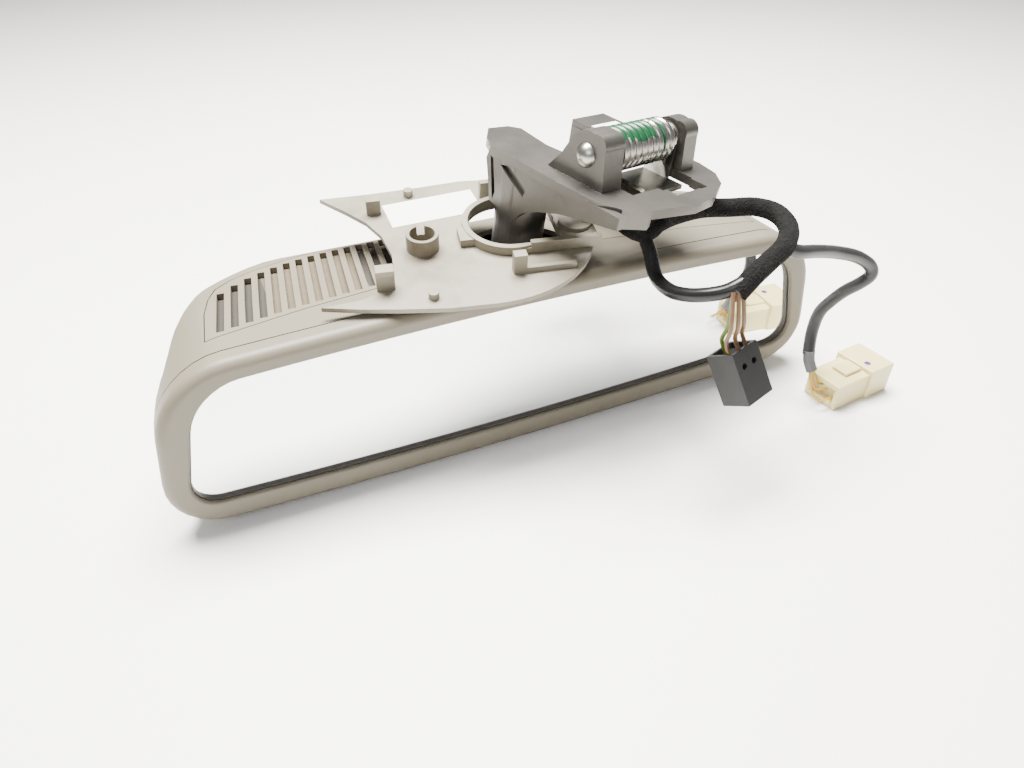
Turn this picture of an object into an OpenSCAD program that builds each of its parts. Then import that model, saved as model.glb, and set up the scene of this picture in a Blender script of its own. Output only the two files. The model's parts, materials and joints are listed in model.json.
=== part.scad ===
// Interior rear-view mirror: mirror head on a ball joint, cast arm with a
// sprung roof foot, loose foot cover and its wiring harness.
// X runs along the mirror, Y away from the driver, Z up. The head stands on
// its lower frame edge at Z = 0.

/* [Mirror head] */
// Half width of the head at mid height
head_half = 124; // [110:0.5:135]
// Lowest point of the frame's corner region
head_low = 3.2; // [2:0.1:6]
// Highest point of the frame's corner region
head_high = 61.5; // [56:0.5:66]
// How far the top and bottom edges bow outwards at the middle
head_bow = 3.2; // [1:0.1:5]
// Corner radius of the frame
head_corner = 19; // [14:1:24]
// Share of the width that the head loses from middle to top
head_taper = 0.036; // [0:0.002:0.06]
// Half width of the visible glass
glass_half = 114.8; // [100:0.1:120]
// Lowest point of the visible glass's corner region
glass_low = 11.8; // [10:0.1:14]
// Highest point of the visible glass's corner region
glass_high = 55.2; // [50:0.1:58]
// How far the frame stands in front of the glass
frame_lip = 1.6; // [1:0.1:3]
// How far the frame reaches behind the glass face
frame_back = 6.5; // [5:0.5:8]
// Half width of the housing behind the frame
housing_half = 116; // [105:1:120]
// Depth of the housing behind the glass face
housing_depth = 71; // [60:1:80]
// Wall of the housing
housing_wall = 2.2; // [1.6:0.2:3]
// Thickness of each glass plate
glass_t = 2; // [1.6:0.2:2.4]

/* [Grille] */
// Number of slots in the grille
slot_count = 15; // [8:1:15]
// Distance from slot to slot
slot_pitch = 4.5; // [4:0.1:5]
// Width of one slot
slot_w = 2.4; // [1.6:0.1:2.8]

/* [Ball joint] */
// Radius of the ball on the arm
ball_r = 9; // [8:0.5:10]
// Wall of the seat round the ball
seat_t = 2.4; // [2:0.2:3]

/* [Arm and foot] */
// Width of the stem along the foot's cross axis
stem_w = 16; // [14:1:18]
// Depth of the stem along the foot's long axis
stem_d = 18; // [16:1:20]
// Thickness of the foot plate
plate_t = 3; // [3:0.5:5]
// Radius of the rivet pin
pin_r = 3; // [2.5:0.5:3.5]
// Number of turns of the torsion spring
spring_turns = 9; // [6:1:10]
// Radius of the spring wire
spring_wire_r = 1.3; // [1:0.05:1.6]

/* [Foot cover] */
// Half length of the cover's round end
cover_half_u = 40.5; // [36:0.5:44]
// Half width of the cover
cover_half_v = 35.7; // [32:0.1:38]
// Thickness of the cover
cover_t = 1.7; // [1.4:0.1:2.2]
// Radius of the hole in the collar
collar_r = 14; // [12:0.5:16]

/* [Harness] */
// Diameter of the taped loom
loom_d = 6.5; // [5:0.5:8]
// Diameter of the sheathed cable
cable_d = 4.6; // [3:0.1:5]
// Diameter of one wire
wire_d = 1.4; // [1:0.1:1.8]

/* [Hidden] */
$fn = 48;
glass_y = -24.71;
foot_origin = [5, 13.2, 98];
foot_turn = [5.5, 4.3, 17];
stem_c = [10, 12];
ball_drop = 60.5;
ball_c = [5.1, 31.8, 38.3];
cover_origin = [8, 29.7, 74];
cover_turn = 10;
cover_az = -11;
collar_c = [-4.5, -4.5];
boss_c = [-35.1, -11];
ear_y = -14.7;
pin_z = 8.9;
ear1 = [8.3, 16.9];
ear2 = [47.4, 53.8];
outer_seat = ball_r + 0.25 + seat_t;
seg = 12;

// ---------- frames of reference ----------
module in_head() { translate([0, glass_y, 0]) children(); }
module at_foot() { in_head() translate(foot_origin) rotate(foot_turn) children(); }
module at_ball() { in_head() translate(ball_c) children(); }
module at_cover() { in_head() translate(cover_origin) rotate([0, 0, cover_az]) rotate([cover_turn, 0, 0]) children(); }
module upright() { rotate([90, 0, 0]) mirror([0, 0, 1]) children(); }

// ---------- outlines ----------
// Rounded rectangle, tapered and bowed, inset by d; x across, y up.
function corner(cx, cz, r, a0, n) = [for (i = [0 : n]) let (a = a0 + 90 * i / n) [cx + r * cos(a), cz + r * sin(a)]];
function edge_pts(x0, x1, z, n) = [for (i = [1 : n - 1]) [x0 + (x1 - x0) * i / n, z]];
function warp(p, half, lo, hi, bow, taper) =
  let (k = (p[1] - (lo + hi) / 2) / ((hi - lo) / 2))
  [p[0] * (1 - taper * k), p[1] + bow * k * (1 - pow(p[0] / half, 2))];
function ring(half, lo, hi, rb, rt) = concat(
  corner(half - rb, lo + rb, rb, -90, 8), corner(half - rt, hi - rt, rt, 0, 8), edge_pts(half - rt, rt - half, hi, 12),
  corner(rt - half, hi - rt, rt, 90, 8), corner(rb - half, lo + rb, rb, 180, 8), edge_pts(rb - half, half - rb, lo, 11));
// Outer edge of the frame, inset by d.
function head_outline(d) = [for (p = ring(head_half - d, head_low + d, head_high - d, head_corner - d, head_corner + 3 - d))
  warp(p, head_half, head_low, head_high, head_bow, head_taper)];
// Edge of the visible glass, grown by d.
function glass_outline(d) = [for (p = ring(glass_half + d, glass_low - d, glass_high + d, 10 + d, 15 + d))
  warp(p, glass_half, glass_low, glass_high, head_bow - 0.3, 0.045)];
// Half of a superellipse, open side at y = 0.
function flare(y) = y < frame_back ? 1 : y > frame_back + 16 ? 0 : pow(1 - (y - frame_back) / 16, 2);
function plan_outline(d) =
  let (a = housing_half - d, b = housing_depth - d, e = 2 / 2.6)
  [for (i = [0 : 44]) let (t = 180 * i / 44, y = b * pow(abs(sin(t)), e))
    [sign(cos(t)) * (a * pow(abs(cos(t)), e) + 8 * flare(y)), y]];
// Side profile of the housing: flat below, top falling to the rear, round back.
function side_outline(d) = concat(
  [[0, d], [46, d]],
  [for (i = [1 : 8]) let (a = -90 + 90 * i / 8) [46 + (housing_depth - 46 - d) * cos(a), 26 + (26 - d) * sin(a)]],
  [for (i = [0 : 8]) let (a = 90 * i / 8) [57 + (housing_depth - 57 - d) * cos(a), 46 + (15.9 - d) * sin(a)]],
  [[0, 64.3 - d]]
);
module head_prism(d, y0, y1) {
  translate([0, y0, 0]) upright() linear_extrude(y1 - y0) polygon(head_outline(d));
}
module glass_prism(d, y0, y1) {
  translate([0, y0, 0]) upright() linear_extrude(y1 - y0) polygon(glass_outline(d));
}
module housing_form(d, y0) {
  intersection() {
    head_prism(d, y0, housing_depth + 5);
    translate([0, 0, -5]) linear_extrude(80) polygon(plan_outline(d));
    translate([-150, 0, 0]) rotate([90, 0, 90]) linear_extrude(300) polygon(side_outline(d));
  }
}
// Plan outline of the top panels, grown by d.
module panel_plan(d) {
  polygon([[-102 - d, 14 - d], [-30 + d, 24 - d], [-30 + d, 64.5 + d], [-45, 62.6 + d], [-55, 61 + d], [-65, 58.8 + d],
    [-74, 56.2 + d], [-83, 53.2 + d], [-90 - d / 2, 49.5 + d], [-95.5 - d, 44.5 + d], [-98.5 - d, 38], [-100.5 - d, 30]]);
}

// ---------- mirror head ----------
module rear_housing() color([0.78, 0.75, 0.70]) in_head() {
  difference() {
    housing_form(0.2, frame_back);
    housing_form(0.2 + housing_wall, frame_back - 1);
    // mouth for the arm
    translate([8, 30, 50]) cylinder(h = 20, r = 20);
    // openings for the two top panels
    translate([0, 0, 54]) linear_extrude(20) panel_plan(0.35);
    mirror([1, 0, 0]) translate([0, 0, 54]) linear_extrude(20) panel_plan(0.35);
  }
}
module bezel_frame() color([0.78, 0.75, 0.70]) in_head() {
  difference() {
    head_prism(0, -frame_lip, frame_back);
    glass_prism(0, -frame_lip - 1, 0.1);
    glass_prism(3, 0, frame_back + 1);
  }
}
module glass_seal() color([0.12, 0.12, 0.12]) in_head() {
  difference() {
    glass_prism(2.9, 0.1, 1);
    glass_prism(-0.5, -1, 2);
  }
}
module mirror_glass() color([0.82, 0.85, 0.86]) in_head() glass_prism(2.6, 1, 1 + glass_t);
module backing_glass() color([0.45, 0.5, 0.52]) in_head() glass_prism(2.2, 1 + glass_t, 1 + 2 * glass_t);
module foam_pad() color([0.2, 0.2, 0.2]) in_head() glass_prism(-4, 1 + 2 * glass_t, 6.4);
module glass_carrier() color([0.15, 0.15, 0.16]) in_head() {
  intersection() {
    difference() {
      glass_prism(2.4, 6.4, 10);
      glass_prism(-1, 8.4, 11);
    }
    translate([-114, 6, 0]) cube([228, 5, 70]);
  }
  // bosses for the socket bracket
  for (x = [-22, 32], z = [20, 46]) translate([x, 8.4, z]) rotate([-90, 0, 0]) cylinder(h = 5.6, r = 4);
}
module panel_form(lower) {
  intersection() {
    difference() {
      housing_form(0.2, frame_back);
      translate([0, 0, -lower]) housing_form(0.2, frame_back - 1);
    }
    translate([0, 0, 40]) linear_extrude(40) panel_plan(0);
  }
}
module grille_panel() color([0.76, 0.73, 0.66]) in_head() {
  difference() {
    panel_form(2);
    for (i = [0 : slot_count - 1]) {
      x = -98.4 + slot_pitch * i;
      back = 60.5 - 19.5 * exp(-i / 4);
      front = 16.8 + 0.64 * i;
      translate([x, 0, 50]) rotate([0, 0, -6.7]) translate([-front * 0.117, front, 0]) cube([slot_w, back - front, 20]);
    }
  }
}
module blank_panel() color([0.78, 0.75, 0.70]) in_head() mirror([1, 0, 0]) panel_form(2);
module grille_felt() color([0.62, 0.56, 0.44]) in_head() {
  intersection() {
    translate([0, 0, -2.2]) panel_form(1.4);
    translate([-104, 16, 40]) cube([80, 43, 30]);
  }
}
module circuit_board() color([0.1, 0.35, 0.2]) in_head() {
  translate([-100, 14.5, 12]) cube([66, 1.6, 36]);
}
module microphones() color([0.3, 0.3, 0.3]) in_head() {
  for (x = [-90, -64]) translate([x, 24, 46]) cylinder(h = 6, r = 4.8);
  for (x = [-90, -64]) translate([x, 16.1, 44]) translate([-3, 0, 0]) cube([6, 8, 2]);
}
module board_header() color([0.9, 0.88, 0.8]) in_head() {
  difference() {
    translate([-58, 16.1, 22]) cube([16, 9, 7]);
    translate([-56.6, 18, 23.4]) cube([13.2, 8, 4.2]);
  }
}
module socket_bracket() color([0.6, 0.6, 0.62]) at_ball() {
  difference() {
    union() {
      // back plate on the carrier's bosses
      translate([-33, -17.8, -24]) cube([66, 2.2, 38]);
      translate([0, 0, -16]) cylinder(h = 18, r = outer_seat + 3.5);
      translate([-8, -16, -16]) cube([16, 10, 16]);
    }
    sphere(r = outer_seat + 0.25);
    cylinder(h = 20, r = outer_seat + 0.25);
    translate([0, 0, -20]) cylinder(h = 12, r = 6.5);
    for (a = [30, 150, 270]) rotate([0, 0, a]) translate([outer_seat + 1.8, 0, -4]) cylinder(h = 8, r = 0.9);
    for (x = [-27.1, 26.9], z = [-18.3, 7.7]) translate([x, -20, z]) rotate([-90, 0, 0]) cylinder(h = 8, r = 1.7);
  }
}
module socket_clamp() color([0.7, 0.7, 0.72]) at_ball() {
  difference() {
    translate([0, 0, 2.2]) cylinder(h = 7, r = outer_seat + 3.5);
    sphere(r = outer_seat + 0.25);
    translate([0, 0, 2]) cylinder(h = 10, r = 9.8);
    for (a = [30, 150, 270]) rotate([0, 0, a]) translate([outer_seat + 1.8, 0, 0]) cylinder(h = 12, r = 1.15);
  }
}
module clamp_screws() color([0.75, 0.75, 0.78]) at_ball() {
  for (a = [30, 150, 270]) rotate([0, 0, a]) translate([outer_seat + 1.8, 0, 0]) {
    translate([0, 0, -3.5]) cylinder(h = 12.8, r = 0.88);
    translate([0, 0, 9.2]) cylinder(h = 1.4, r = 1.9);
  }
}
module bracket_screws() color([0.75, 0.75, 0.78]) at_ball() {
  for (x = [-27.1, 26.9], z = [-18.3, 7.7]) translate([x, 0, z]) rotate([-90, 0, 0]) {
    translate([0, 0, -17.8]) cylinder(h = 2.2, r = 1.6);
    translate([0, 0, -15.6]) cylinder(h = 1.6, r = 3.2);
  }
}

// ---------- ball seats ----------
module seat_ring(lo, hi) {
  rotate_extrude($fn = 64) polygon(concat(
    [for (i = [0 : seg]) let (a = lo + (hi - lo) * i / seg) outer_seat * [cos(a), sin(a)]],
    [for (i = [seg : -1 : 0]) let (a = lo + (hi - lo) * i / seg) (ball_r + 0.25) * [cos(a), sin(a)]]
  ));
}
module ball_seat_cup() color([0.9, 0.9, 0.88]) at_ball() seat_ring(-58, -11);
module ball_seat_ring() color([0.85, 0.85, 0.83]) at_ball() seat_ring(11, 36);

// ---------- arm and foot ----------
module stem_plan(d) {
  w = stem_w - 2 * d;
  l = stem_d - 2 * d;
  r = 7 - d / 2;
  translate([-w / 2 + r, -l / 2]) square([w - 2 * r, l]);
  translate([-w / 2, -l / 2 + r]) square([w, l - 2 * r]);
  for (x = [-1, 1], y = [-1, 1]) translate([x * (w / 2 - r), y * (l / 2 - r)]) circle(r);
}
module plate_plan() {
  polygon([[2, 22], [1.6, -12], [2.6, -28], [6, -34.5], [14, -39.5], [31, -43.5], [41, -42.5], [53, -36.5],
    [58.5, -30], [60.6, -21.5], [60.6, 25], [58, 28], [46, 27.5], [43, 24], [42.4, 6], [39, 1], [27, 1],
    [21.4, 6], [20.4, 14], [22.6, 30], [19.5, 33.6], [11.3, 34.8], [5, 28]]);
}
module ear_form(x0, x1, drop) {
  translate([x0, 0, -drop]) rotate([90, 0, 90]) linear_extrude(x1 - x0) {
    polygon([[-24, -1.5], [2, -1.5], [-1, 2], [-4.5, 6.2], [-8, 12.4], [-14.7, 16.2], [-20, 15.6], [-22, 12]]);
    translate([ear_y, pin_z]) circle(7.4);
    translate([-18.4, 12.6]) circle(3.7);
  }
}
module side_wall(x0, x1) {
  translate([x0, 0, 0]) rotate([90, 0, 90]) linear_extrude(x1 - x0) polygon([[22.5, -1], [24, -5], [21.5, -14], [20.5, -19],
    [8, -22], [3.5, -17], [-3, -13.6], [-13, -10], [-25.8, -7.2], [-37, -5], [-37, -1]]);
}
module mirror_arm() color([0.66, 0.66, 0.65]) at_foot() {
  difference() {
    union() {
      // plate with its skirt
      translate([0, 0, -plate_t]) linear_extrude(plate_t) plate_plan();
      ear_form(ear1[0], ear1[1], 0);
      ear_form(ear2[0], ear2[1], 1);
      // raised block of the far prong
      translate([43.2, 8, -7]) cube([16.6, 17, 9.2]);
      // gusset walls from the stem to the plate
      side_wall(2.2, 5.2);
      side_wall(14.8, 17.8);
      // rear skirt
      translate([0, 0, -6.4]) linear_extrude(5) polygon([[2.2, -22], [2.6, -28], [6, -34.5], [13.6, -39.3], [16.5, -38],
        [12, -34.5], [8, -31], [5.2, -27], [5.2, -22]]);
      // stem, neck and ball
      translate([stem_c[0], stem_c[1], -46]) linear_extrude(44) stem_plan(0);
      translate([stem_c[0], stem_c[1], -54]) cylinder(h = 10, r = 6.4);
      translate([stem_c[0], stem_c[1], -ball_drop]) sphere(r = ball_r, $fn = 64);
    }
    // open channel towards the prongs
    translate([5.4, 8, -16]) cube([9.2, 30, 11.8]);
    // lead bore down the stem and through the ball
    translate([stem_c[0], stem_c[1], -75]) cylinder(h = 62, r = 4);
    // window under the spring
    translate([16.9, -29, -10]) cube([30, 25, 12]);
    // slit and groove in the near wall
    translate([2, 0, 0]) rotate([90, 0, 90]) linear_extrude(3.3) polygon([[21.8, -3.6], [20.4, -3.9], [18, -15], [19, -18.5]]);
    translate([1.2, 0, 0]) rotate([90, 0, 90]) linear_extrude(2.2) polygon([[16.6, -4.8], [12, -3.6], [3.1, -8.6], [4.1, -11.4]]);
    // stepped pocket in the rear edge of the plate
    translate([29, -36, -1.5]) cube([17, 8, 5]);
    translate([34, -33.5, -5]) cube([12, 6, 5]);
    // pin bore through both ears
    translate([0, ear_y, pin_z]) rotate([0, 90, 0]) cylinder(h = 70, r = pin_r + 0.05);
  }
}
module rivet_pin() color([0.75, 0.75, 0.74]) at_foot() translate([0, ear_y, pin_z]) rotate([0, 90, 0]) {
  translate([0, 0, ear1[0] - 1]) cylinder(h = ear2[1] - ear1[0] + 2, r = pin_r);
  intersection() {
    translate([0, 0, ear1[0] + 1.4]) sphere(r = 4.2);
    translate([0, 0, ear1[0] - 4]) cylinder(h = 4, r = 3.8);
  }
  translate([0, 0, ear2[1]]) cylinder(h = 1.8, r = 3.8);
}

// Tube swept along points p, radius r, n sides; z_up is the fallback normal.
function unit(v) = v / norm(v);
function dir_at(p, i) = unit(p[min(i + 1, len(p) - 1)] - p[max(i - 1, 0)]);
function side_at(t) = unit(cross(t, abs(t[2]) < 0.9 ? [0, 0, 1] : [1, 0, 0]));
function carry(s, t) = unit(s - (s * t) * t);
function frames(p, i = 0, s = undef, out = []) = i == len(p) ? out :
  let (t = dir_at(p, i), s1 = is_undef(s) ? side_at(t) : carry(s, t))
  frames(p, i + 1, s1, concat(out, [[s1, cross(t, s1)]]));
module tube(p, r, n = 8) {
  f = frames(p);
  m = len(p);
  pts = [for (i = [0 : m - 1], k = [0 : n - 1]) p[i] + r * (cos(360 * k / n) * f[i][0] + sin(360 * k / n) * f[i][1])];
  sides = [for (i = [0 : m - 2], k = [0 : n - 1]) [i * n + k, i * n + (k + 1) % n, (i + 1) * n + (k + 1) % n, (i + 1) * n + k]];
  polyhedron(points = pts, faces = concat(sides, [[for (k = [n - 1 : -1 : 0]) k]], [[for (k = [0 : n - 1]) (m - 1) * n + k]]));
}
// Catmull-Rom points through hand-placed points.
function cat(a, b, c, d, t) = 0.5 * (2 * b + (c - a) * t + (2 * a - 5 * b + 4 * c - d) * t * t + (3 * b - a - 3 * c + d) * t * t * t);
function smooth(p, n) = concat([for (i = [0 : len(p) - 2], k = [0 : n - 1])
  cat(p[max(i - 1, 0)], p[i], p[i + 1], p[min(i + 2, len(p) - 1)], k / n)], [p[len(p) - 1]]);

module torsion_spring() color([0.7, 0.71, 0.7]) at_foot() {
  r = 5.9;
  x0 = 18.7;
  pitch = 2.75;
  steps = spring_turns * 16;
  coil = [for (i = [0 : steps]) let (a = 360 * i / 16) [x0 + pitch * i / 16, ear_y + r * cos(a), pin_z + r * sin(a)]];
  tube(coil, spring_wire_r, 8);
}
module foot_sticker() color([0.95, 0.95, 0.93]) at_foot() translate([44.5, 11, 2.2]) cube([13, 5.5, 0.15]);

// ---------- latch ----------
module latch_lever() color([0.55, 0.55, 0.56]) at_foot() {
  difference() {
    union() {
      translate([28.5, -26, -5]) cube([18.2, 17, 1.5]);
      translate([45.7, -20, -5]) cube([1, 10.6, 14]);
      translate([45.7, ear_y, pin_z]) rotate([0, 90, 0]) cylinder(h = 1, r = 5.4);
      translate([28.5, -26, -5]) rotate([0, -32, 0]) translate([-1.2, 0, 0]) cube([1.4, 17, 4.4]);
    }
    translate([45, ear_y, pin_z]) rotate([0, 90, 0]) cylinder(h = 3, r = pin_r + 0.08);
  }
}

// ---------- foot cover ----------
cover_mid = [-16, -7.7];
cover_tail = [[-31, 26.3], [-50, 24.8], [-67.5, 24.3], [-59, 15], [-52.5, 7], [-48, -2], [-45.8, -13], [-46.2, -24],
  [-49.5, -30], [-57, -34], [-70, -35.6], [-58, -38.6], [-46, -40.8], [-31, -43]];
module cover_plan() {
  polygon(concat(
    [for (i = [0 : 36]) let (a = -90 + 5 * i) cover_mid + [cover_half_u * cos(a), cover_half_v * sin(a)]], cover_tail));
}
module mouth_plan(r) {
  translate(collar_c) circle(r);
  translate([collar_c[0], collar_c[1] - r]) square([11.4 - collar_c[0] + r - collar_r, 2 * r]);
  translate([-1, 5]) square([12.4 + r - collar_r, 6.4 + r - collar_r]);
}
module foot_cover() color([0.83, 0.80, 0.75]) at_cover() {
  difference() {
    translate([0, 0, -cover_t]) linear_extrude(cover_t) cover_plan();
    // mouth for the arm
    translate([0, 0, -5]) linear_extrude(12) mouth_plan(collar_r + 0.6);
  }
  // slotted locating boss
  translate([boss_c[0], boss_c[1], -0.5]) difference() {
    cylinder(h = 6.5, r = 5.5);
    translate([0, 0, 0.5]) cylinder(h = 9, r = 4.2);
    translate([-1.3, 0, 3]) cube([2.6, 8, 8]);
  }
  // spring clips
  translate([-51.6, 11, -0.5]) cube([5, 2.6, 6.1]);
  translate([-10.6, 14.6, -0.5]) cube([4.4, 2.6, 7]);
  translate([-52.4, -31, -0.5]) cube([5.8, 3, 8.5]);
  translate([-52.4, -32, 6]) cube([5.8, 2, 2]);
  translate([-8.2, -30.4, -0.5]) cube([4.4, 3.4, 7.6]);
  translate([-4, -30.4, -0.5]) cube([17, 1.6, 2.6]);
  // pips
  translate([-35.8, 21.4, -0.5]) cylinder(h = 3, r = 1.7);
  translate([-35.4, -37, -0.5]) cylinder(h = 2.8, r = 1.7);
}
module cover_label() color([0.96, 0.96, 0.95]) at_cover() {
  difference() {
    translate([-28.3, 11.9, 0]) rotate([0, 0, 9]) translate([-16.7, -7.1, 0]) cube([33.4, 14.2, 0.12]);
    translate([collar_c[0], collar_c[1], -1]) cylinder(h = 3, r = collar_r + 1);
  }
}
module collar_slider() color([0.80, 0.77, 0.71]) at_cover() {
  difference() {
    union() {
      translate([0, 0, 0.2]) linear_extrude(3) translate(collar_c) circle(collar_r + 2);
      translate([collar_c[0], collar_c[1] - collar_r - 2, 0.2]) cube([24.5 - collar_c[0], 30, 2.2]);
      translate([-22.6, -13, 0.2]) cube([6, 8, 2.6]);
      translate([0, collar_c[1] - collar_r - 2, 0.2]) cube([24.5, 2, 4.2]);
      translate([18.2, -9, 2]) cylinder(h = 1.8, r = 5.8);
    }
    translate([0, 0, -1]) linear_extrude(10) mouth_plan(collar_r);
  }
}

// ---------- harness ----------
// Route of the taped loom, from the arm's channel round to its end.
loom_route = [[9, 34, 88], [14, 42, 89], [24, 36, 88], [30, 22, 85], [33, 6, 80.5], [36, -7, 79],
  [43, -6, 81], [51, -3.5, 81], [63, -1.5, 80.3], [73.4, -4.2, 79.9], [81.2, -7.3, 80],
  [83.7, -15.3, 80.4], [80, -25.7, 80.1], [70.8, -34.8, 79.8], [62.1, -38.7, 78.4],
  [53.6, -41.7, 76.1], [47.7, -43, 72.5]];
upper_route = [[36.8, -7.6, 77.5], [36.5, -12.2, 74], [35.4, -18.1, 68.7], [35.8, -25.6, 67.4],
  [38, -31.8, 68.4], [41, -36.8, 70.3], [44.9, -40.5, 72.4], [48.2, -42.1, 74.5], [52.1, -42, 75.8]];
lower_route = [[70.3, -35.2, 79.4], [76.7, -35.6, 76.8], [86.2, -33.7, 74.1], [97.9, -31.3, 70.2],
  [109.3, -30.6, 65.9], [117, -31, 61], [118.5, -31.5, 57], [116.5, -29.5, 53], [114.5, -26, 48.5],
  [113.5, -22, 42], [112.5, -19.5, 36], [111, -20, 28], [109.5, -22.5, 20]];
sleeve_route = [[109.5, -22.5, 21.5], [109.5, -23.6, 17.5], [110.1, -25.8, 13.8]];
signal_routes = [
  [[109.9, -26.2, 15], [110.6, -28, 8.4], [111.6, -29.6, 6.6], [115.6, -30.8, 6.6]],
  [[110.8, -24.9, 15], [112.8, -26.8, 9.8], [113.6, -27, 7.6], [116.4, -27.6, 6.4]],
  [[109.2, -25, 15], [108, -30.5, 7], [109.8, -34, 4.4], [115.4, -34, 5]]];
black_a = [0.193, -0.483, -0.854];
black_corner = [44.2, -49.9, 55.1];
black_size = 0.91;
feed_ends = [[2.2, 3], [6.6, 2.6], [11, 3], [6.6, 8.6]];

module wire_loom() color([0.1, 0.1, 0.1]) in_head() tube(smooth(loom_route, 2), loom_d / 2, 10);
module upper_cable() color([0.13, 0.13, 0.14]) in_head() tube(smooth(upper_route, 2), cable_d / 2, 8);
module lower_cable() color([0.2, 0.2, 0.21]) in_head() tube(smooth(lower_route, 2), cable_d / 2, 8);
module cable_sleeve() color([0.5, 0.5, 0.5]) in_head() tube(smooth(sleeve_route, 2), 2.2, 10);
module head_lead() color([0.1, 0.1, 0.1]) at_foot() translate([stem_c[0], stem_c[1], -74]) cylinder(h = 60, r = 3);
module at_black() {
  // local X down the connector, Y to its back, Z to its right
  in_head() translate(black_corner) multmatrix([
    [0.193, -0.202, 0.960, 0], [-0.483, 0.833, 0.272, 0], [-0.854, -0.516, 0.063, 0], [0, 0, 0, 1]]) scale(black_size) children();
}
module feed_wires() color([0.55, 0.36, 0.2]) in_head() {
  for (i = [0 : 3]) {
    e = feed_ends[i];
    top = [47.5 + 0.42 * (e[0] - 6.6), -43.4 + 0.4 * (e[1] - 3), 73.5];
    end = black_corner + black_size * (e[1] * [-0.202, 0.833, -0.516] + e[0] * [0.96, 0.272, 0.063] + 2 * black_a);
    mid = (top + end) / 2 + [-1.2, -1, 0];
    tube(smooth([top, mid, end - 5 * black_a, end], 3), wire_d / 2, 8);
  }
}
module black_connector() color([0.12, 0.12, 0.12]) at_black() {
  difference() {
    cube([19.3, 11.7, 13.3]);
    translate([-1, 1.2, 1.2]) cube([3.2, 9.3, 10.9]);
    for (z = [4, 9.2]) translate([6, -1, z]) rotate([-90, 0, 0]) cylinder(h = 3, r = 1.2);
    for (z = [2.2, 6.6, 11]) translate([14.3, 5.9, z]) rotate([0, 90, 0]) cylinder(h = 6, r = 1.3);
  }
}
module black_terminals() color([0.8, 0.7, 0.4]) at_black() {
  for (z = [2.2, 6.6, 11]) translate([14.6, 5.9, z]) rotate([0, 90, 0]) cylinder(h = 3.6, r = 1.1);
}
module at_white() { in_head() translate([115, -38, 0.05]) rotate([0, 0, 6]) children(); }
module white_connector() color([0.93, 0.9, 0.78]) at_white() {
  difference() {
    union() {
      translate([0, 1, 0]) cube([20, 15, 11]);
      translate([17, 0, 0]) cube([13, 17.4, 13]);
    }
    translate([-1, 3, 2.4]) cube([4, 11, 6.2]);
    translate([22, 2.2, 2.2]) cube([10, 13, 8.6]);
  }
}
module white_lock() color([0.88, 0.84, 0.66]) at_white() translate([8, 5, 11]) cube([8.7, 7, 1.4]);
module white_terminals() color([0.8, 0.7, 0.4]) at_white() {
  for (y = [4.6, 8.6, 12.6], z = [5, 8.4]) translate([18, y, z]) rotate([0, 90, 0]) cylinder(h = 9, r = 0.7);
}
module signal_wires() color([0.75, 0.6, 0.15]) in_head() {
  for (r = signal_routes) tube(smooth(r, 3), 0.45, 8);
}

rear_housing();
bezel_frame();
mirror_glass();
backing_glass();
glass_seal();
foam_pad();
glass_carrier();
grille_panel();
blank_panel();
grille_felt();
circuit_board();
microphones();
board_header();
socket_bracket();
socket_clamp();
clamp_screws();
bracket_screws();
ball_seat_cup();
ball_seat_ring();
mirror_arm();
rivet_pin();
torsion_spring();
foot_sticker();
latch_lever();
foot_cover();
cover_label();
collar_slider();
wire_loom();
upper_cable();
lower_cable();
cable_sleeve();
feed_wires();
signal_wires();
black_connector();
black_terminals();
white_connector();
white_lock();
white_terminals();
head_lead();
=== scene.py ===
# Interior rear-view mirror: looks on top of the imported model.
import json
import math

import bpy
import bmesh
from mathutils import Euler, Matrix, Vector

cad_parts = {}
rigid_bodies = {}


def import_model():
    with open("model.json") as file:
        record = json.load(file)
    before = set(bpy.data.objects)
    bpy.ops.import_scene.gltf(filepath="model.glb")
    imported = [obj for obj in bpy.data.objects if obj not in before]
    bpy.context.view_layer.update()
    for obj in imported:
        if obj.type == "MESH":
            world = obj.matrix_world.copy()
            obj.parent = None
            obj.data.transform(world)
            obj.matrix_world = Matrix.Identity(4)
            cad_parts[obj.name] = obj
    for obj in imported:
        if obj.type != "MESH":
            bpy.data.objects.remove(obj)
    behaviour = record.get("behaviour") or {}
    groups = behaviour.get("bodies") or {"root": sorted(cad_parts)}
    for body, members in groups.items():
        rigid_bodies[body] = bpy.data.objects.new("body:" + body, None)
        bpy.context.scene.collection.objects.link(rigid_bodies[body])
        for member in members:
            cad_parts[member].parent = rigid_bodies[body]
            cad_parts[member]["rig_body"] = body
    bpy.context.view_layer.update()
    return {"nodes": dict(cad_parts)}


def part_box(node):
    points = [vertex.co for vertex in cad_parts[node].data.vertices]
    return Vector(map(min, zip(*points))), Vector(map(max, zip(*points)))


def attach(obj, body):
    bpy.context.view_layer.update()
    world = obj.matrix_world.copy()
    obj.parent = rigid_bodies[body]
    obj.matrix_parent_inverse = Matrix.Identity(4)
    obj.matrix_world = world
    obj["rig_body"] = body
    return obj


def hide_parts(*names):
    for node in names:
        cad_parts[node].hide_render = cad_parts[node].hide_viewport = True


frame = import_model()
nodes = frame["nodes"]
MM = 0.001
GLASS_INSET = 1
GLASS_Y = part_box("mirror_glass")[0].y / MM - GLASS_INSET

# Diameters, in metres.
LOOM_D = 0.0065
CABLE_D = 0.0046
FEED_WIRE_D = 0.0014
SPRING_WIRE_D = 0.0026

# The foot plate's place in the mirror head's millimetres, and its turn.
FOOT_PLACE = (5, 13.2, 98)
FOOT_TURN = [math.radians(a) for a in (5.5, 4.3, 17)]


def head_point(x, y, z):
    """A point in the mirror head's millimetres, glass face at y = 0, as a place in the frame."""
    return Vector((x * MM, (y + GLASS_Y) * MM, z * MM))


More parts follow.
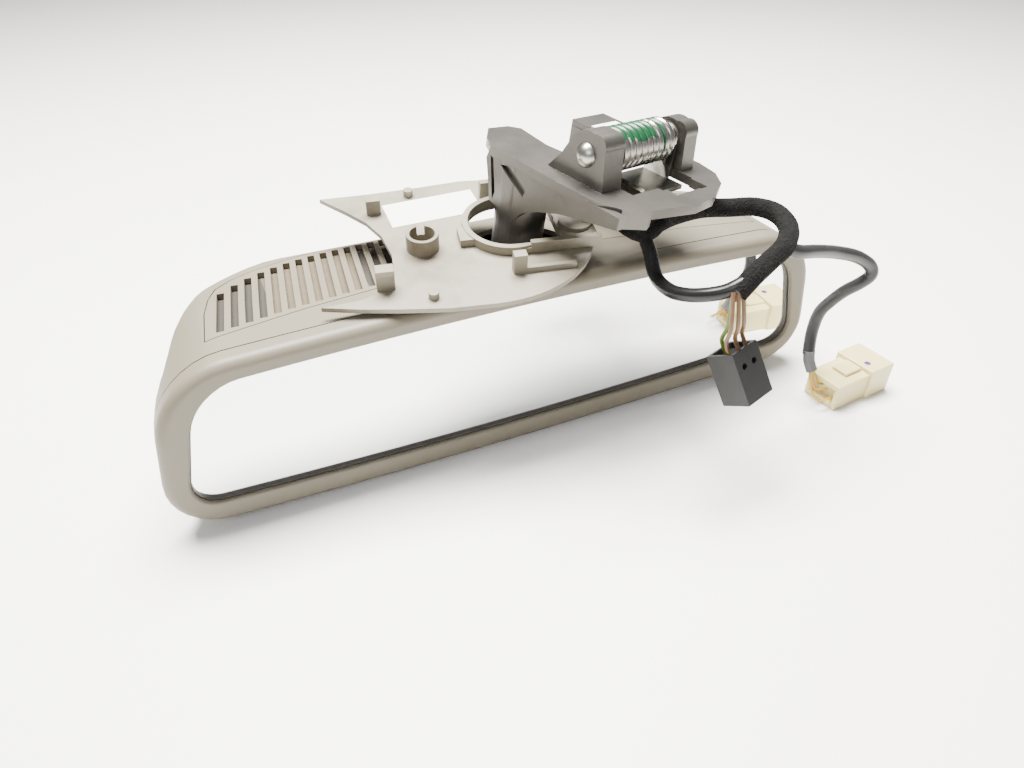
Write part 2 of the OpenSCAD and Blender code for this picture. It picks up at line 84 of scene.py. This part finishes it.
# ---------- camera ----------
CAMERA_PLACE = (-92.92, -191.73, 184)
CAMERA_LOOK = (0.3252, 0.7300, -0.6012)
CAMERA_UP = (0.2487, 0.5474, 0.7991)

cam_data = bpy.data.cameras.new("camera")
cam = bpy.data.objects.new("camera", cam_data)
bpy.context.scene.collection.objects.link(cam)
cam_data.sensor_width = 36
cam_data.lens = 25.87
cam_data.clip_start = 0.01
look = Vector(CAMERA_LOOK).normalized()
right = look.cross(Vector(CAMERA_UP)).normalized()
upward = right.cross(look)
cam.matrix_world = Matrix.Translation(head_point(*CAMERA_PLACE)) @ Matrix((
    (right.x, upward.x, -look.x, 0),
    (right.y, upward.y, -look.y, 0),
    (right.z, upward.z, -look.z, 0),
    (0, 0, 0, 1)))
bpy.context.scene.camera = cam

# ---------- cords ----------
# Routes in the mirror head's millimetres.
LOOM = [(9, 34, 88), (14, 42, 89), (24, 36, 88), (30, 22, 85), (33, 6, 80.5), (36, -7, 79),
        (43, -6, 81), (51, -3.5, 81), (63, -1.5, 80.3), (73.4, -4.2, 79.9), (81.2, -7.3, 80),
        (83.7, -15.3, 80.4), (80, -25.7, 80.1), (70.8, -34.8, 79.8), (62.1, -38.7, 78.4),
        (53.6, -41.7, 76.1), (47.7, -43, 72.5)]
UPPER = [(36.8, -7.6, 77.5), (36.5, -12.2, 74), (35.4, -18.1, 68.7), (35.8, -25.6, 67.4),
         (38, -31.8, 68.4), (41, -36.8, 70.3), (44.9, -40.5, 72.4), (48.2, -42.1, 74.5),
         (52.1, -42, 75.8)]
LOWER = [(70.3, -35.2, 79.4), (76.7, -35.6, 76.8), (86.2, -33.7, 74.1), (97.9, -31.3, 70.2),
         (109.3, -30.6, 65.9), (117, -31, 61), (118.5, -31.5, 57), (116.5, -29.5, 53),
         (114.5, -26, 48.5), (113.5, -22, 42), (112.5, -19.5, 36), (111, -20, 28), (109.5, -22.5, 20)]
ROUTE_STEPS = 4


def smooth_route(points, steps):
    """Catmull-Rom line through a route's points."""
    p = [head_point(*q) for q in points]
    line = []
    for i in range(len(p) - 1):
        a, b, c, d = p[max(i - 1, 0)], p[i], p[i + 1], p[min(i + 2, len(p) - 1)]
        for k in range(steps):
            t = k / steps
            line.append(0.5 * (2 * b + (c - a) * t
                               + (2 * a - 5 * b + 4 * c - d) * t * t
                               + (3 * b - a - 3 * c + d) * t ** 3))
    line.append(p[-1])
    return line


def round_wire(name, line, diameter, roundness=4):
    """A round wire or cord along a line: a curve of one open spline with closed ends."""
    data = bpy.data.curves.new(name, "CURVE")
    data.dimensions = "3D"
    data.bevel_depth = diameter / 2
    data.bevel_resolution = roundness
    data.use_fill_caps = True
    spline = data.splines.new("POLY")
    spline.points.add(len(line) - 1)
    for point, place in zip(spline.points, line):
        point.co = (place.x, place.y, place.z, 1)
    spline.use_smooth = True
    piece = bpy.data.objects.new(name, data)
    bpy.context.scene.collection.objects.link(piece)
    return piece


loom_line = smooth_route(LOOM, ROUTE_STEPS)
upper_line = smooth_route(UPPER, ROUTE_STEPS)
lower_line = smooth_route(LOWER, ROUTE_STEPS)
loom = round_wire("loom_tape", loom_line, LOOM_D, roundness=5)
upper = round_wire("upper_sheath", upper_line, CABLE_D, roundness=5)
lower = round_wire("lower_sheath", lower_line, CABLE_D, roundness=5)


# ---------- materials ----------
def surface(name, color, rough, metallic=0.0, grain=900.0, depth=0.00004, tint=0.06, patch=30.0,
            rough_play=0.08, second=None, second_scale=18.0, second_edge=(0.55, 0.75), **sockets):
    """A Principled finish on Object coordinates: fine grain bump, slow colour and roughness play,
    optional second tone."""
    m = bpy.data.materials.new(name)
    m.use_nodes = True
    t = m.node_tree
    n, l = t.nodes, t.links
    bsdf = n["Principled BSDF"]
    bsdf.inputs["Metallic"].default_value = metallic
    for key, value in sockets.items():
        bsdf.inputs[key.replace("_", " ")].default_value = value
    co = n.new("ShaderNodeTexCoord")
    fine = n.new("ShaderNodeTexNoise")
    fine.inputs["Scale"].default_value = grain
    fine.inputs["Detail"].default_value = 3
    l.new(co.outputs["Object"], fine.inputs["Vector"])
    bump = n.new("ShaderNodeBump")
    bump.inputs["Strength"].default_value = 1.0
    bump.inputs["Distance"].default_value = depth
    l.new(fine.outputs["Fac"], bump.inputs["Height"])
    l.new(bump.outputs["Normal"], bsdf.inputs["Normal"])
    slow = n.new("ShaderNodeTexNoise")
    slow.inputs["Scale"].default_value = patch
    slow.inputs["Detail"].default_value = 5
    slow.inputs["Roughness"].default_value = 0.6
    l.new(co.outputs["Object"], slow.inputs["Vector"])
    ramp = n.new("ShaderNodeValToRGB")
    ramp.color_ramp.elements[0].position = 0.3
    ramp.color_ramp.elements[1].position = 0.7
    ramp.color_ramp.elements[0].color = [c * (1 - tint) for c in color] + [1]
    ramp.color_ramp.elements[1].color = [min(1, c * (1 + tint)) for c in color] + [1]
    l.new(slow.outputs["Fac"], ramp.inputs["Fac"])
    out = ramp.outputs["Color"]
    if second:
        dirt = n.new("ShaderNodeTexNoise")
        dirt.inputs["Scale"].default_value = second_scale
        dirt.inputs["Detail"].default_value = 8
        dirt.inputs["Roughness"].default_value = 0.65
        l.new(co.outputs["Object"], dirt.inputs["Vector"])
        edge = n.new("ShaderNodeMapRange")
        edge.inputs["From Min"].default_value = second_edge[0]
        edge.inputs["From Max"].default_value = second_edge[1]
        l.new(dirt.outputs["Fac"], edge.inputs["Value"])
        mix = n.new("ShaderNodeMix")
        mix.data_type = "RGBA"
        l.new(edge.outputs["Result"], mix.inputs["Factor"])
        l.new(out, mix.inputs["A"])
        mix.inputs["B"].default_value = list(second) + [1]
        out = mix.outputs["Result"]
    l.new(out, bsdf.inputs["Base Color"])
    play = n.new("ShaderNodeMapRange")
    play.inputs["To Min"].default_value = max(0.02, rough - rough_play)
    play.inputs["To Max"].default_value = min(1.0, rough + rough_play)
    l.new(slow.outputs["Fac"], play.inputs["Value"])
    l.new(play.outputs["Result"], bsdf.inputs["Roughness"])
    return m


def spring_steel(name):
    """Bright drawn wire."""
    return surface(name, (0.36, 0.345, 0.31), 0.28, metallic=1.0, grain=600, depth=0.00002, tint=0.06)


def cream_plastic(name):
    """Cream nylon, slightly translucent."""
    m = surface(name, (0.62, 0.53, 0.25), 0.36, grain=700, depth=0.00002, tint=0.04,
                Subsurface_Weight=0.25)
    bsdf = m.node_tree.nodes["Principled BSDF"]
    bsdf.inputs["Subsurface Radius"].default_value = (0.006, 0.005, 0.003)
    bsdf.inputs["Subsurface Scale"].default_value = 1.0
    return m


shell_grey = surface("shell_grey", (0.145, 0.127, 0.090), 0.50, grain=1400, depth=0.00003, tint=0.03)
cover_grey = surface("cover_grey", (0.200, 0.178, 0.130), 0.5, grain=1100, depth=0.00003, tint=0.04,
                     second=(0.06, 0.043, 0.024), second_scale=24, second_edge=(0.48, 0.74))
grille_grey = surface("grille_grey", (0.145, 0.124, 0.088), 0.55, grain=1400, depth=0.00003, tint=0.03)
zinc_cast = surface("zinc_cast", (0.105, 0.099, 0.088), 0.38, metallic=0.8, grain=420, depth=0.00006,
                    tint=0.10, patch=60, second=(0.055, 0.052, 0.046), second_scale=60,
                    second_edge=(0.6, 0.8))
bright_wire = spring_steel("bright_wire")
pressed_steel = surface("pressed_steel", (0.13, 0.125, 0.11), 0.34, metallic=1.0, grain=500, depth=0.00003)
mirror_silver = surface("mirror_silver", (0.93, 0.95, 0.95), 0.02, metallic=1.0, grain=20, depth=0.0,
                        tint=0.005, rough_play=0.005)
dark_glass = surface("dark_glass", (0.02, 0.025, 0.03), 0.05, grain=50, depth=0.0)
seal_black = surface("seal_black", (0.05, 0.045, 0.036), 0.5)
moulded_black = surface("moulded_black", (0.011, 0.011, 0.011), 0.42, grain=1500, depth=0.00003,
                        Specular_IOR_Level=0.3)
felt_beige = surface("felt_beige", (0.10, 0.08, 0.05), 0.95, grain=1600, depth=0.0003, tint=0.15, patch=200)
fleece_black = surface("fleece_black", (0.006, 0.0057, 0.0053), 1.0, grain=1300, depth=0.0011, tint=0.5,
                       patch=420, Specular_IOR_Level=0.12)
sheath_black = surface("sheath_black", (0.008, 0.008, 0.008), 0.26, grain=300, depth=0.00002, tint=0.05,
                       patch=80, Specular_IOR_Level=0.3)
sheath_grey = surface("sheath_grey", (0.019, 0.019, 0.019), 0.30, grain=300, depth=0.00002, tint=0.1,
                      patch=80, Specular_IOR_Level=0.3)
sleeve_grey = surface("sleeve_grey", (0.07, 0.073, 0.076), 0.5)
wire_brown = surface("wire_brown", (0.13, 0.065, 0.025), 0.4, tint=0.1)
wire_green = surface("wire_green", (0.10, 0.16, 0.01), 0.4, tint=0.1)
wire_yellow = surface("wire_yellow", (0.42, 0.26, 0.03), 0.4, tint=0.1)
cream_nylon = cream_plastic("cream_nylon")
label_white = surface("label_white", (0.90, 0.90, 0.87), 0.45, tint=0.015, depth=0.0)
seat_white = surface("seat_white", (0.75, 0.75, 0.72), 0.45)
board_green = surface("board_green", (0.02, 0.14, 0.06), 0.3)
brass_pin = surface("brass_pin", (0.72, 0.55, 0.25), 0.28, metallic=1.0)


def sums(n, l):
    """A helper that adds one Math node to a material and gives back its result."""
    def calc(op, a, b):
        k = n.new("ShaderNodeMath")
        k.operation = op
        for socket, value in zip(k.inputs, (a, b)):
            if isinstance(value, (int, float)):
                socket.default_value = value
            else:
                l.new(value, socket)
        return k.outputs[0]
    return calc


def paint_over(n, l, bsdf, where, color):
    """Lay a second colour over the base colour where the given value is 1."""
    mix = n.new("ShaderNodeMix")
    mix.data_type = "RGBA"
    l.new(where, mix.inputs["Factor"])
    l.new(bsdf.inputs["Base Color"].links[0].from_socket, mix.inputs["A"])
    mix.inputs["B"].default_value = list(color) + [1]
    l.new(mix.outputs["Result"], bsdf.inputs["Base Color"])


def paint_marked_wire():
    """Spring wire with green paint brushed over the tops of its turns and one band near its far end."""
    ragged = 0.009
    paint_floor = 0.0130
    paint_end = 0.0345
    band_middle = 0.0375
    band_half = 0.0009
    m = spring_steel("marked_wire")
    n, l = m.node_tree.nodes, m.node_tree.links
    bsdf = n["Principled BSDF"]
    calc = sums(n, l)
    co = n.new("ShaderNodeTexCoord")
    place = n.new("ShaderNodeMapping")
    place.vector_type = "TEXTURE"
    place.inputs["Location"].default_value = head_point(*FOOT_PLACE)
    place.inputs["Rotation"].default_value = FOOT_TURN
    l.new(co.outputs["Object"], place.inputs["Vector"])
    axes = n.new("ShaderNodeSeparateXYZ")
    l.new(place.outputs["Vector"], axes.inputs["Vector"])
    blot = n.new("ShaderNodeTexNoise")
    blot.inputs["Scale"].default_value = 260
    blot.inputs["Detail"].default_value = 4
    l.new(place.outputs["Vector"], blot.inputs["Vector"])
    wobble = calc("MULTIPLY", calc("SUBTRACT", blot.outputs["Fac"], 0.5), ragged)
    top = calc("GREATER_THAN", calc("ADD", axes.outputs["Z"], wobble), paint_floor)
    left = calc("LESS_THAN", calc("ADD", axes.outputs["X"], wobble), paint_end)
    from_band = calc("ABSOLUTE", calc("SUBTRACT", axes.outputs["X"], band_middle), 0)
    band = calc("LESS_THAN", from_band, band_half)
    paint = calc("MAXIMUM", calc("MULTIPLY", top, left), band)
    paint_over(n, l, bsdf, paint, (0.003, 0.055, 0.018))
    l.new(calc("SUBTRACT", 1.0, paint), bsdf.inputs["Metallic"])
    return m


def zoned(m, color, inside):
    """Lay a second colour over a finish where inside(nodes, links, coordinates, calc) gives 1."""
    n, l = m.node_tree.nodes, m.node_tree.links
    co = n.new("ShaderNodeTexCoord")
    where = inside(n, l, co.outputs["Object"], sums(n, l))
    paint_over(n, l, n["Principled BSDF"], where, color)
    return m


def beyond_felt(n, l, coords, calc):
    """1 on the plain lining at both sides of the felt strip."""
    felt_middle = -0.0640
    felt_half = 0.0165
    axes = n.new("ShaderNodeSeparateXYZ")
    l.new(coords, axes.inputs["Vector"])
    from_middle = calc("ABSOLUTE", calc("ADD", axes.outputs["X"], -felt_middle), 0)
    return calc("GREATER_THAN", from_middle, felt_half)


def ink_dot(n, l, coords, calc):
    """1 within a small test mark on the plug's top."""
    dot_radius = 0.0013
    away = n.new("ShaderNodeVectorMath")
    away.operation = "DISTANCE"
    l.new(coords, away.inputs[0])
    away.inputs[1].default_value = head_point(134.8, -30.4, 13)
    return calc("LESS_THAN", away.outputs["Value"], dot_radius)


marked_wire = paint_marked_wire()
zoned(felt_beige, (0.035, 0.03, 0.024), beyond_felt)
cream_marked = zoned(cream_plastic("cream_marked"), (0.09, 0.02, 0.16), ink_dot)

FINISH = {
    "rear_housing": shell_grey, "bezel_frame": shell_grey, "blank_panel": shell_grey,
    "grille_panel": grille_grey, "grille_felt": felt_beige,
    "mirror_glass": mirror_silver, "backing_glass": dark_glass, "glass_seal": seal_black,
    "foam_pad": fleece_black, "glass_carrier": moulded_black,
    "circuit_board": board_green, "microphones": pressed_steel, "board_header": cream_nylon,
    "socket_bracket": pressed_steel, "socket_clamp": pressed_steel,
    "clamp_screws": bright_wire, "bracket_screws": bright_wire,
    "ball_seat_cup": seat_white, "ball_seat_ring": seat_white,
    "mirror_arm": zinc_cast, "rivet_pin": bright_wire, "torsion_spring": bright_wire,
    "foot_sticker": label_white, "latch_lever": pressed_steel,
    "foot_cover": cover_grey, "cover_label": label_white, "collar_slider": cover_grey,
    "cable_sleeve": sleeve_grey, "feed_wires": wire_brown, "signal_wires": wire_yellow,
    "black_connector": moulded_black, "black_terminals": brass_pin,
    "white_connector": cream_marked, "white_lock": cream_nylon, "white_terminals": brass_pin,
    "head_lead": sheath_black,
}
for name, finish in FINISH.items():
    node = nodes[name]
    node.data.materials.clear()
    node.data.materials.append(finish)

for piece, finish, node, slot in (
        (loom, fleece_black, "wire_loom", "fleece"),
        (upper, sheath_black, "upper_cable", "cable_sheath"),
        (lower, sheath_grey, "lower_cable", "cable_sheath")):
    piece.data.materials.append(finish)
    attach(piece, "arm")
    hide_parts(node)


# ---------- softened copies of CAD nodes ----------
# Doubles in metres, angles in degrees.
DOUBLES = 0.00001
FLAT_ANGLE = 0.15
SMOOTH_ANGLE = 35


def softened(node, width, segments=2, angle=30.0, shape=None):
    """A copy of a CAD node with its doubles merged, flat faces joined and its edges rounded."""
    source = nodes[node]
    piece = bpy.data.objects.new(node + "_shown", source.data.copy())
    bpy.context.scene.collection.objects.link(piece)
    bpy.ops.object.select_all(action="DESELECT")
    bpy.context.view_layer.objects.active = piece
    piece.select_set(True)
    bpy.ops.object.mode_set(mode="EDIT")
    bpy.ops.mesh.select_all(action="SELECT")
    bpy.ops.mesh.remove_doubles(threshold=DOUBLES)
    bpy.ops.mesh.dissolve_limited(angle_limit=math.radians(FLAT_ANGLE))
    if shape:
        shape(piece)
    bpy.ops.object.mode_set(mode="OBJECT")
    bevel = piece.modifiers.new("round", "BEVEL")
    bevel.width = width
    bevel.segments = segments
    bevel.limit_method = "ANGLE"
    bevel.angle_limit = math.radians(angle)
    bevel.use_clamp_overlap = True
    bevel.harden_normals = False
    bpy.ops.object.modifier_apply(modifier=bevel.name)
    bpy.ops.object.shade_smooth_by_angle(angle=math.radians(SMOOTH_ANGLE))
    weigh = piece.modifiers.new("flat_faces", "WEIGHTED_NORMAL")
    weigh.keep_sharp = True
    bpy.ops.object.modifier_apply(modifier=weigh.name)
    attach(piece, source["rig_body"])
    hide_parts(node)
    return piece


def pick_edges(piece, test):
    """Select exactly the edges that pass a test, in edit mode."""
    bm = bmesh.from_edit_mesh(piece.data)
    bpy.ops.mesh.select_mode(type="EDGE")
    for e in bm.edges:
        e.select_set(False)
    for e in bm.edges:
        if test(e):
            e.select_set(True)
    bmesh.update_edit_mesh(piece.data)


def round_frame(piece):
    """The frame's broad outer round and the narrow round beside the glass."""
    back_gap = 0.7
    deep_wall = 4
    outer_round = 3.4
    inner_round = 0.9
    bm = bmesh.from_edit_mesh(piece.data)
    front = min(v.co.y for v in bm.verts)
    back = max(v.co.y for v in bm.verts)

    def on_front(e, outer):
        if any(abs(v.co.y - front) > 2e-5 for v in e.verts) or len(e.link_faces) != 2:
            return False
        flat = sorted(abs(f.normal.y) for f in e.link_faces)
        if flat[0] > 0.5 or flat[1] < 0.9:
            return False
        wall = min(e.link_faces, key=lambda f: abs(f.normal.y))
        depth = max(v.co.y for v in wall.verts) - front
        return (depth > deep_wall * MM) == outer

    # The back edge moves forward, which leaves a narrow seam before the housing.
    for v in bm.verts:
        if v.co.y > back - 1e-5:
            v.co.y = back - back_gap * MM
    bmesh.update_edit_mesh(piece.data)
    pick_edges(piece, lambda e: on_front(e, True))
    bpy.ops.mesh.bevel(offset=outer_round * MM, segments=6, profile=0.5, affect="EDGES", clamp_overlap=True)
    pick_edges(piece, lambda e: on_front(e, False))
    bpy.ops.mesh.bevel(offset=inner_round * MM, segments=3, profile=0.5, affect="EDGES", clamp_overlap=True)


softened("bezel_frame", 0.0003, shape=round_frame)
softened("rear_housing", 0.0004, angle=25)
softened("blank_panel", 0.0004)
softened("grille_panel", 0.0003)
softened("foot_cover", 0.0004)
softened("collar_slider", 0.0004)
softened("mirror_arm", 0.0008, segments=3)
softened("latch_lever", 0.0003)
softened("black_connector", 0.0004)
softened("white_connector", 0.0006, segments=3)
softened("white_lock", 0.0004)

# ---------- torsion spring ----------
# In the foot plate's millimetres.
TURNS = 9
TURN_STEPS = 28
COIL_START = 18.7
COIL_PITCH = 2.75
COIL_Y = -14.7
COIL_Z = 8.9
COIL_R = 5.9
FOOT = Matrix.Translation(head_point(*FOOT_PLACE)) @ Euler(FOOT_TURN).to_matrix().to_4x4()


def coil_point(i):
    """A place on the spring's coil, i steps from its start."""
    turn = math.tau * i / TURN_STEPS
    along = COIL_START + COIL_PITCH * i / TURN_STEPS
    y = COIL_Y + COIL_R * math.cos(turn)
    z = COIL_Z + COIL_R * math.sin(turn)
    return FOOT @ Vector((along * MM, y * MM, z * MM))


coil_line = [coil_point(i) for i in range(TURNS * TURN_STEPS + 1)]
spring_coil = round_wire("spring_coil", coil_line, SPRING_WIRE_D)
spring_coil.data.materials.append(marked_wire)
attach(spring_coil, "arm")
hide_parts("torsion_spring")

# ---------- feed wires ----------
# The black plug's corner, its scale and its three edge directions, as in the CAD.
PLUG_CORNER = Vector((44.2, -49.9, 55.1))
PLUG_SIZE = 0.91
PLUG_DOWN = Vector((0.193, -0.483, -0.854))
PLUG_DEEP = Vector((-0.202, 0.833, -0.516))
PLUG_WIDE = Vector((0.96, 0.272, 0.063))
# Each wire's place on the plug's end, across its width and its depth.
FEED_HOLES = ((2.2, 3), (6.6, 2.6), (11, 3), (6.6, 8.6))
GREEN_FEED = 3


def feed_line(wide, deep):
    """From the loom's end to one hole of the black plug, along the plug's length at its end."""
    top = Vector((47.5 + 0.42 * (wide - 6.6), -43.4 + 0.4 * (deep - 3), 73.5))
    end = PLUG_CORNER + PLUG_SIZE * (deep * PLUG_DEEP + wide * PLUG_WIDE + 2 * PLUG_DOWN)
    mid = (top + end) / 2 + Vector((-1.2, -1, 0))
    return smooth_route([tuple(top), tuple(mid), tuple(end - 5 * PLUG_DOWN), tuple(end)], 5)


for i, hole in enumerate(FEED_HOLES):
    feed = round_wire("feed_wire_%d" % i, feed_line(*hole), FEED_WIRE_D)
    feed.data.materials.append(wire_green if i == GREEN_FEED else wire_brown)
    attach(feed, "arm")
    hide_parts("feed_wires")

# ---------- stage ----------
bpy.ops.mesh.primitive_plane_add(size=6, location=(0, 0, -0.0001))
floor = bpy.context.object
floor.name = "floor"
floor_white = surface("floor_white", (0.92, 0.905, 0.88), 0.5, grain=60, depth=0.00002, tint=0.01, patch=4)
floor.data.materials.append(floor_white)

world = bpy.data.worlds.new("studio")
bpy.context.scene.world = world
world.use_nodes = True
background = world.node_tree.nodes["Background"]
background.inputs["Color"].default_value = (0.92, 0.95, 1.0, 1)
background.inputs["Strength"].default_value = 0.42


def lamp(name, place, target, size, power, color=(1, 1, 1)):
    """A rectangular soft light that faces a target."""
    data = bpy.data.lights.new(name, "AREA")
    data.shape = "RECTANGLE"
    data.size, data.size_y = size
    data.energy = power
    data.color = color
    light = bpy.data.objects.new(name, data)
    bpy.context.scene.collection.objects.link(light)
    light.location = place
    light.rotation_euler = (Vector(target) - Vector(place)).to_track_quat("-Z", "Y").to_euler()


lamp("top_light", (0.0, 0.18, 0.8), (0, 0, 0.05), (0.7, 0.35), 62, (1, 0.98, 0.945))
lamp("front_light", (-0.5, -0.7, 0.7), (0, 0, 0.03), (0.6, 0.4), 4)
